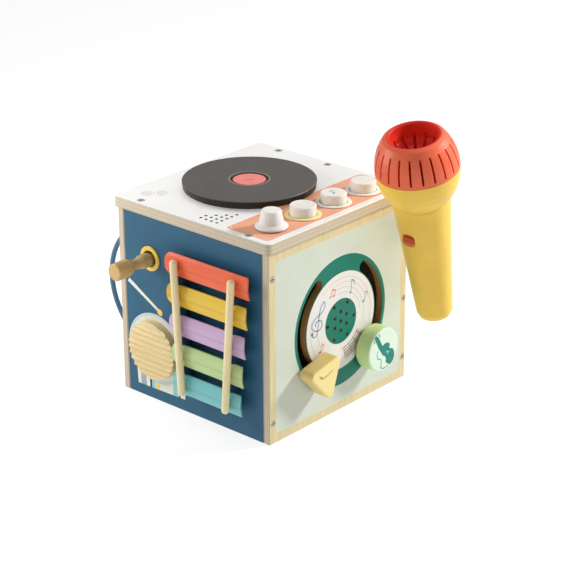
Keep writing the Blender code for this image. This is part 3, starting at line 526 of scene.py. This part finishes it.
mic_body_finish()
mic_head_finish()
mic_switch_finish()


def knob_finish(name, node, front, side):
    """Painted beech knob: the flat face is painted lighter than the turned side, as painted light on one
    paint.
    """
    finish = Finish(name, 0.42)
    fine = finish.noise(1.0, (1, 14, 1), 4.0)
    on_face = finish.below(finish.y, KNOB_FACE + 0.9, 0.8)
    # Face and side get lit and shaded tones of one paint: painted light.
    tone = finish.mix(on_face, mottled(finish, side, 0.05), mottled(finish, front, 0.02))
    finish.colour(tone)
    return finish.bump(fine, 0.02, 0.35).put(node)


knob_finish("triangle_paint", "triangle_knob", linear(240, 220, 146), linear(230, 202, 128))
knob_finish("guitar_paint", "guitar_knob", linear(218, 236, 218), linear(202, 228, 160))


# Prints: thin layers of ink on the boards and knobs
def on_front(u, v, h, face=FRONT):
    return Vector((u, face - h, v)) * MM


def on_knob(node):
    """Places a print on a slider's face, measured from the middle of its box."""
    centre = centre_of(node)
    return lambda u, v, h: on_front(centre.x + u, centre.z + v, h, KNOB_FACE)


def on_left(u, v, h):
    return Vector((LEFT - h, u, v)) * MM


def on_top(height):
    return lambda u, v, h: Vector((u, v, height + h)) * MM


def curve(points, steps=6):
    """Smooth line through the points (Catmull-Rom)."""
    spots = [Vector(p) for p in points]
    spots = [2 * spots[0] - spots[1], *spots, 2 * spots[-1] - spots[-2]]
    line = []
    for a, b, c, d in zip(spots, spots[1:], spots[2:], spots[3:]):
        for k in range(steps):
            t = k / steps
            square, cube = 2 * a - 5 * b + 4 * c - d, 3 * b - a - 3 * c + d
            line.append(0.5 * (2 * b + (c - a) * t + square * t * t + cube * t ** 3))
    return line + [spots[-2]]


def arc(centre, radius, start, end, steps=24):
    """Points of a round arc between two angles in degrees."""
    turns = [math.radians(start + (end - start) * k / steps) for k in range(steps + 1)]
    return [Vector((centre[0] + radius * math.cos(t), centre[1] + radius * math.sin(t))) for t in turns]


def turned(centre, a, b, turn):
    """The point (a, b), turned by an angle in radians and set off from the centre."""
    cos, sin = math.cos(turn), math.sin(turn)
    return Vector((centre[0] + a * cos - b * sin, centre[1] + a * sin + b * cos))


def oval(centre, across, up, turn=0.0, steps=28):
    """Closed outline of an ellipse, turned by an angle in degrees."""
    ring = []
    for k in range(steps):
        a, b = across * math.cos(math.tau * k / steps), up * math.sin(math.tau * k / steps)
        ring.append(turned(centre, a, b, math.radians(turn)))
    return ring


def solid_fill(shape, outline, spot, low, high):
    """Flat closed layer inside an outline."""
    rings = [[shape.verts.new(spot(p[0], p[1], h)) for p in outline] for h in (low, high)]
    faces = [shape.faces.new(rings[0]), shape.faces.new(rings[1])]
    for k in range(len(outline)):
        faces.append(shape.faces.new((rings[0][k - 1], rings[0][k], rings[1][k], rings[1][k - 1])))
    return faces


def solid_line(shape, line, width, spot, low, high):
    """Flat closed ribbon along a line; width is a number, or the widths at its two ends."""
    widths = width if isinstance(width, tuple) else (width, width)
    rows = []
    for k, point in enumerate(line):
        lead = Vector(line[min(k + 1, len(line) - 1)]) - Vector(line[max(k - 1, 0)])
        side = Vector((-lead.y, lead.x)).normalized()
        half = (widths[0] + (widths[1] - widths[0]) * k / (len(line) - 1)) / 2
        near, far = Vector(point) + side * half, Vector(point) - side * half
        corners = ((near, low), (far, low), (far, high), (near, high))
        rows.append([shape.verts.new(spot(end[0], end[1], h)) for end, h in corners])
    faces = [shape.faces.new(rows[0]), shape.faces.new(rows[-1])]
    for a, b in zip(rows, rows[1:]):
        for k in range(4):
            faces.append(shape.faces.new((a[k - 1], a[k], b[k], b[k - 1])))
    return faces


def print_piece(name, body, spot, layers):
    """One printed picture; layers is a list of (ink, shapes), a shape an outline or (line, width)."""
    shape = bmesh.new()
    data = bpy.data.meshes.new(name)
    for index, (layer_ink, shapes) in enumerate(layers):
        data.materials.append(layer_ink.material)
        low = PRINT_LIFT + PRINT_STEP * index
        high = low + PRINT_THICK
        for item in shapes:
            if isinstance(item, tuple):
                faces = solid_line(shape, *item, spot, low, high)
            else:
                faces = solid_fill(shape, item, spot, low, high)
            for face in faces:
                face.material_index = index
    bmesh.ops.recalc_face_normals(shape, faces=shape.faces)
    shape.to_mesh(data)
    shape.free()
    piece = bpy.data.objects.new(name, data)
    bpy.context.scene.collection.objects.link(piece)
    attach(piece, body)
    return piece


INK_GREY = ink("ink_slate", linear(156, 165, 179))
INK_CORAL = ink("ink_coral", linear(222, 130, 104))
INK_BLUE_GREY = ink("ink_blue_grey", linear(112, 128, 158))
INK_OLIVE = ink("ink_olive", linear(150, 170, 132))
INK_STAVE = ink("ink_stave", linear(206, 194, 176))
INK_BROWN = ink("ink_brown", linear(150, 108, 82))
INK_DARK_BROWN = ink("ink_dark_brown", linear(112, 78, 40))
INK_DARK_GREEN = ink("ink_dark_green", linear(30, 130, 116))
INK_CREAM = ink("ink_cream", linear(226, 226, 212))
INK_PALE_BLUE = ink("ink_pale_blue", linear(196, 212, 218))
INK_STONE = ink("ink_stone", linear(156, 168, 182))
INK_TEAL = ink("ink_teal", linear(140, 206, 208))
INK_NAVY = ink("ink_navy", linear(20, 42, 62))
INK_YELLOW = ink("ink_yellow", linear(242, 200, 96))
INK_LID_GREY = ink("ink_lid_grey", linear(222, 222, 220))
INK_SEA = ink("ink_sea", linear(96, 176, 172))
DIAL = (DIAL_X, DIAL_Z)


def note(foot, lean, stem, head, flag):
    """Quaver: an oval head, a stem that leans, and a curved flag."""
    turn = math.radians(lean)
    up = Vector((-math.sin(turn), math.cos(turn)))
    side = Vector((up.y, -up.x))
    base = Vector(foot)
    tip = base + side * head * 0.9 + up * stem
    shapes = [oval(base, head * 1.15, head * 0.8, lean + 20), ([base + side * head * 0.9, tip], 0.55)]
    if flag:
        middle = tip + side * flag * 0.7 - up * flag * 0.4
        end = tip + side * flag * 0.9 - up * flag * 1.2
        shapes.append((curve([tip, middle, end]), (1.3, 0.4)))
    return shapes


def front_print():
    """Stave rings, clef and notes inside the dial."""
    rings = (
        (42.3, -18, 128), (42.3, 160, 222), (37.6, 18, 104),
        (32.6, -20, 122), (32.6, 172, 216), (27.8, 10, 100),
    )
    stave = [(arc(DIAL, radius, start, end, 40), 0.5) for radius, start, end in rings]
    clef_line = (
        (-0.13, -0.39), (-0.05, -0.48), (0.06, -0.44), (0.07, -0.28), (0.0, 0.05), (-0.03, 0.30),
        (0.03, 0.47), (0.10, 0.44), (0.12, 0.32), (0.04, 0.17), (-0.12, 0.03), (-0.21, -0.12),
        (-0.17, -0.26), (-0.02, -0.31), (0.14, -0.27), (0.20, -0.14), (0.12, -0.03), (0.0, -0.03),
        (-0.08, -0.12), (-0.03, -0.20),
    )
    middle, height, lean = Vector((-30.2, 101.6)), 35.0, math.radians(-21.0)

    def tilted(point):
        """Place on the board of a point of the clef, whose height is 1."""
        return turned(middle, point[0] * height, point[1] * height, lean)

    clef = [(curve([tilted(point) for point in clef_line], 5), 1.4)]
    clef.append(oval(tilted((-0.12, -0.40)), 1.9, 1.9))
    beam = [oval((-13.6, 118.4), 1.5, 1.1, 30), oval((-9.0, 118.0), 1.5, 1.1, 30)]
    beam += [([(-12.4, 118.8), (-11.4, 125.0)], 0.6), ([(-7.8, 118.4), (-6.9, 123.8)], 0.6)]
    beam.append(([(-11.5, 124.6), (-6.8, 123.4)], 1.5))
    strings = [(arc(DIAL, 28.6 + 2.9 * k, -86 + 2 * k, -33, 24), 0.75) for k in range(5)]
    for turn in (-80, -66, -52, -38):
        strings.append(([arc(DIAL, reach, turn, turn, 1)[0] for reach in (27.6, 40.6)], 0.5))
    print_piece("front_print", "cube", on_front, [
        (INK_STAVE, stave),
        (INK_GREY, clef),
        (INK_CORAL, beam + note((-28.2, 68.4), -14, 8.0, 1.5, 3.2)),
        (INK_BLUE_GREY, note((14.2, 114.0), -3, 12.4, 1.1, 5.4)),
        (INK_OLIVE, note((33.2, 99.4), -8, 9.4, 1.7, 4.0)),
        (INK_BROWN, strings),
    ])


def knob_prints():
    """Curved line and dot on the triangle, a plain guitar on the round knob."""
    smile = curve([(-9.6, 8.0), (-8.2, 5.4), (-5.3, 4.1), (0.0, 5.0), (8.6, 8.1)])
    print_piece("triangle_print", "triangle_slider", on_knob("triangle_knob"), [
        (INK_DARK_BROWN, [(smile, (0.8, 0.6))]),
        (INK_CORAL, [oval((-7.0, 5.6), 1.5, 1.3)]),
    ])
    body = curve([
        (-2.2, 4.4), (1.8, 5.8), (5.6, 5.6), (8.9, 3.0), (8.4, -0.8), (13.7, -3.4), (16.0, -8.8),
        (14.7, -14.0), (9.9, -17.8), (5.6, -15.8), (3.1, -13.0), (3.8, -10.5), (1.2, -6.5), (-1.4, -5.0),
        (-2.2, 4.4),
    ], 4)[:-1]
    neck = [(-2.0, 4.6), (-7.8, 15.4), (-11.6, 17.8), (-13.6, 15.2), (-7.6, 4.0), (-1.2, -5.5)]
    pegs = [oval(spot, 0.8, 0.8) for spot in ((-14.2, 13.0), (-13.4, 11.2), (-7.2, 17.6), (-6.2, 15.8))]
    edge = curve([
        (-7.9, 1.2), (-9.5, -1.8), (-8.6, -6.9), (-4.6, -8.0), (-3.3, -12.1), (-4.2, -16.2), (-0.2, -19.0),
        (6.6, -18.0),
    ])
    shadow = (edge, (0.7, 0.8))
    light = [(curve([(3.4, -4.0), (5.1, -3.0), (6.6, -4.5), (8.7, -4.2)]), 1.0)]
    light.append((curve([(5.7, -5.2), (6.6, -6.9)]), 0.9))
    print_piece("guitar_print", "guitar_slider", on_knob("guitar_knob"), [
        (INK_DARK_GREEN, [body, *pegs, shadow]),
        (INK_DARK_GREEN, [neck]),
        (INK_TEAL, light),
    ])


def drum_print():
    """Drum picture behind the guiro, with its stick, on the left side."""
    centre = (48.5, 53.0)
    skin = oval(centre, 32.6, 32.6, steps=64)
    rim = oval(centre, 35.6, 35.4, steps=64)

    def band(left, right, top=34.0):
        """Upright band of the drum's body between two places along its slightly sloping foot."""
        foot, slope, spread = 12.46, 0.02, 1.06
        below = [(y, foot - y * slope) for y in (left, right)]
        above = [(centre[0] + (y - centre[0]) * spread, top) for y in (right, left)]
        return below + above

    stick = [([(82.0, 114.4), (44.4, 93.6)], (4.2, 2.8))]
    print_piece("drum_print", "cube", on_left, [
        (INK_CREAM, [band(73.6, 12.2), *stick]),
        (INK_PALE_BLUE, [rim]),
        (INK_CREAM, [skin]),
        (INK_STONE, [band(69.4, 62.4)]),
        (INK_TEAL, [band(55.2, 51.0), band(27.6, 21.2)]),
        (INK_NAVY, [band(57.8, 55.4), band(20.6, 18.4, 24.0)]),
        (INK_YELLOW, [oval((47.6, 14.4), 2.8, 2.8), oval((42.0, 91.8), 3.5, 3.1, 35)]),
    ])


def lid_print():
    """Faint dots on the lid and small marks in the corners of the control strip."""
    faint = [oval((-76.8, 75.2), 6.6, 5.2, 45), oval((-66.8, 65.4), 6.6, 5.2, 45)]
    corners = ((-89.9, -41.3), (-89.5, -85.6), (89.5, -85.6), (89.9, -41.3))
    patches = [oval(spot, 2.0, 2.0) for spot in corners]
    marks = [oval(spot, 0.9, 0.9) for spot in corners]
    marks.append(oval((-71.8, 70.6), 0.7, 0.7))
    print_piece("lid_print", "cube", on_top(LID_TOP), [
        (INK_LID_GREY, faint),
        (INK_CREAM, patches),
        (INK_BROWN, marks),
    ])


def control_prints():
    """Icons on the buttons and a short dash on the record's label."""
    top = on_top(face_of("button_2", 2, 1))
    spot = centre_of("button_2")
    quaver = note((spot.x - 2.4, spot.y - 2.2), 0, 6.4, 1.5, 3.6)
    print_piece("button_2_print", "button_2", top, [(INK_SEA, quaver)])
    spot = centre_of("button_3")
    swirl = [(arc((spot.x, spot.y), radius, 20, 320, 24), 0.7) for radius in (3.0, 5.6)]
    print_piece("button_3_print", "button_3", top, [(INK_LID_GREY, swirl)])
    spot = centre_of("button_1")
    ring = [(arc((spot.x, spot.y), 5.2, -60, 240, 24), 0.6)]
    print_piece("button_1_print", "button_1", top, [(INK_LID_GREY, ring)])
    label_top = on_top(face_of("record_label", 2, 1))
    x, y = RECORD_CENTRE.x, RECORD_CENTRE.y
    dash = [(curve([(x - 5.0, y + 2.6), (x - 2.0, y - 0.6), (x + 2.6, y - 2.4)]), (0.7, 1.1))]
    print_piece("label_print", "record", label_top, [(INK_BROWN, dash)])


front_print()
knob_prints()
drum_print()
lid_print()
control_prints()


# Floor, lights and camera
FLOOR_TONE = 0.30
FLOOR_GLOW = 0.78
WORLD_LIGHT = 0.33
MIC_NODES = ("mic_body", "mic_head", "mic_core", "mic_switch")
UNSHADING = (*MIC_NODES, "mic_cradle", "record", "record_label")
SUN = (0.727, -0.475, 0.493)
AIM = (0.0, 0.0, 0.09)
CAMERA_PLACE = (-1.2324, -1.1225, 0.8048)
CAMERA_TURN = (1.17078, 0.00399, -0.84531)
CAMERA_LENS = 121.596


def stage_floor():
    """White paper floor, matt and partly lit from itself, so that it stays as white as the background."""
    glow = {"Emission_Color": (1, 1, 1, 1), "Emission_Strength": FLOOR_GLOW}
    finish = Finish("floor_paper", 0.9, Specular_IOR_Level=0.0, **glow)
    finish.colour(mottled(finish, (FLOOR_TONE, FLOOR_TONE, FLOOR_TONE, 1.0), 0.01, 400.0))
    mesh = bpy.data.meshes.new("floor")
    half = 6.0
    corners = [(-half, -half, 0), (half, -half, 0), (half, half, 0), (-half, half, 0)]
    mesh.from_pydata(corners, [], [(0, 1, 2, 3)])
    mesh.materials.append(finish.material)
    floor = bpy.data.objects.new("floor", mesh)
    bpy.context.scene.collection.objects.link(floor)


def lamp(name, direction, distance, size, power):
    """Soft square light, aimed at the middle of the cube from that direction."""
    light = bpy.data.lights.new(name, "AREA")
    light.size = size
    light.energy = power
    holder = bpy.data.objects.new(name, light)
    bpy.context.scene.collection.objects.link(holder)
    way = Vector(direction).normalized()
    holder.location = Vector(AIM) + way * distance
    holder.rotation_euler = way.to_track_quat("Z", "Y").to_euler()
    return holder


def light_list(name, nodes, state):
    """Collection that includes or excludes those nodes, for a light's list."""
    group = bpy.data.collections.new(name)
    for node in nodes:
        group.objects.link(NODES[node])
    for item in group.collection_objects:
        item.light_linking.link_state = state
    return group


def camera():
    data = bpy.data.cameras.new("view")
    data.lens = CAMERA_LENS
    data.sensor_width = 36.0
    data.clip_end = 50.0
    holder = bpy.data.objects.new("view", data)
    holder.location = CAMERA_PLACE
    holder.rotation_euler = CAMERA_TURN
    bpy.context.scene.collection.objects.link(holder)
    bpy.context.scene.camera = holder


stage_floor()
# The key lamp passes by the microphone, which has its own, and the record throws no shadow from it
key = lamp("key", SUN, distance=2.2, size=0.42, power=43.0)
key.light_linking.receiver_collection = light_list("all_but_mic", MIC_NODES, "EXCLUDE")
key.light_linking.blocker_collection = light_list("unshading", UNSHADING, "EXCLUDE")
mic_key = lamp("mic_key", (0.66, -0.47, 0.60), distance=2.2, size=0.45, power=50.0)
mic_key.light_linking.receiver_collection = light_list("mic_only", MIC_NODES, "INCLUDE")
lamp("fill", (-0.66, 0.74, 0.45), distance=0.55, size=0.30, power=1.75)
lamp("sky", (0.15, 0.1, 1.0), distance=1.6, size=1.0, power=4.5)
world = bpy.data.worlds.new("studio")
world.use_nodes = True
background = world.node_tree.nodes["Background"].inputs
background["Color"].default_value = (1.0, 1.0, 1.0, 1.0)
background["Strength"].default_value = WORLD_LIGHT
bpy.context.scene.world = world
bpy.context.scene.view_settings.view_transform = "Standard"
camera()
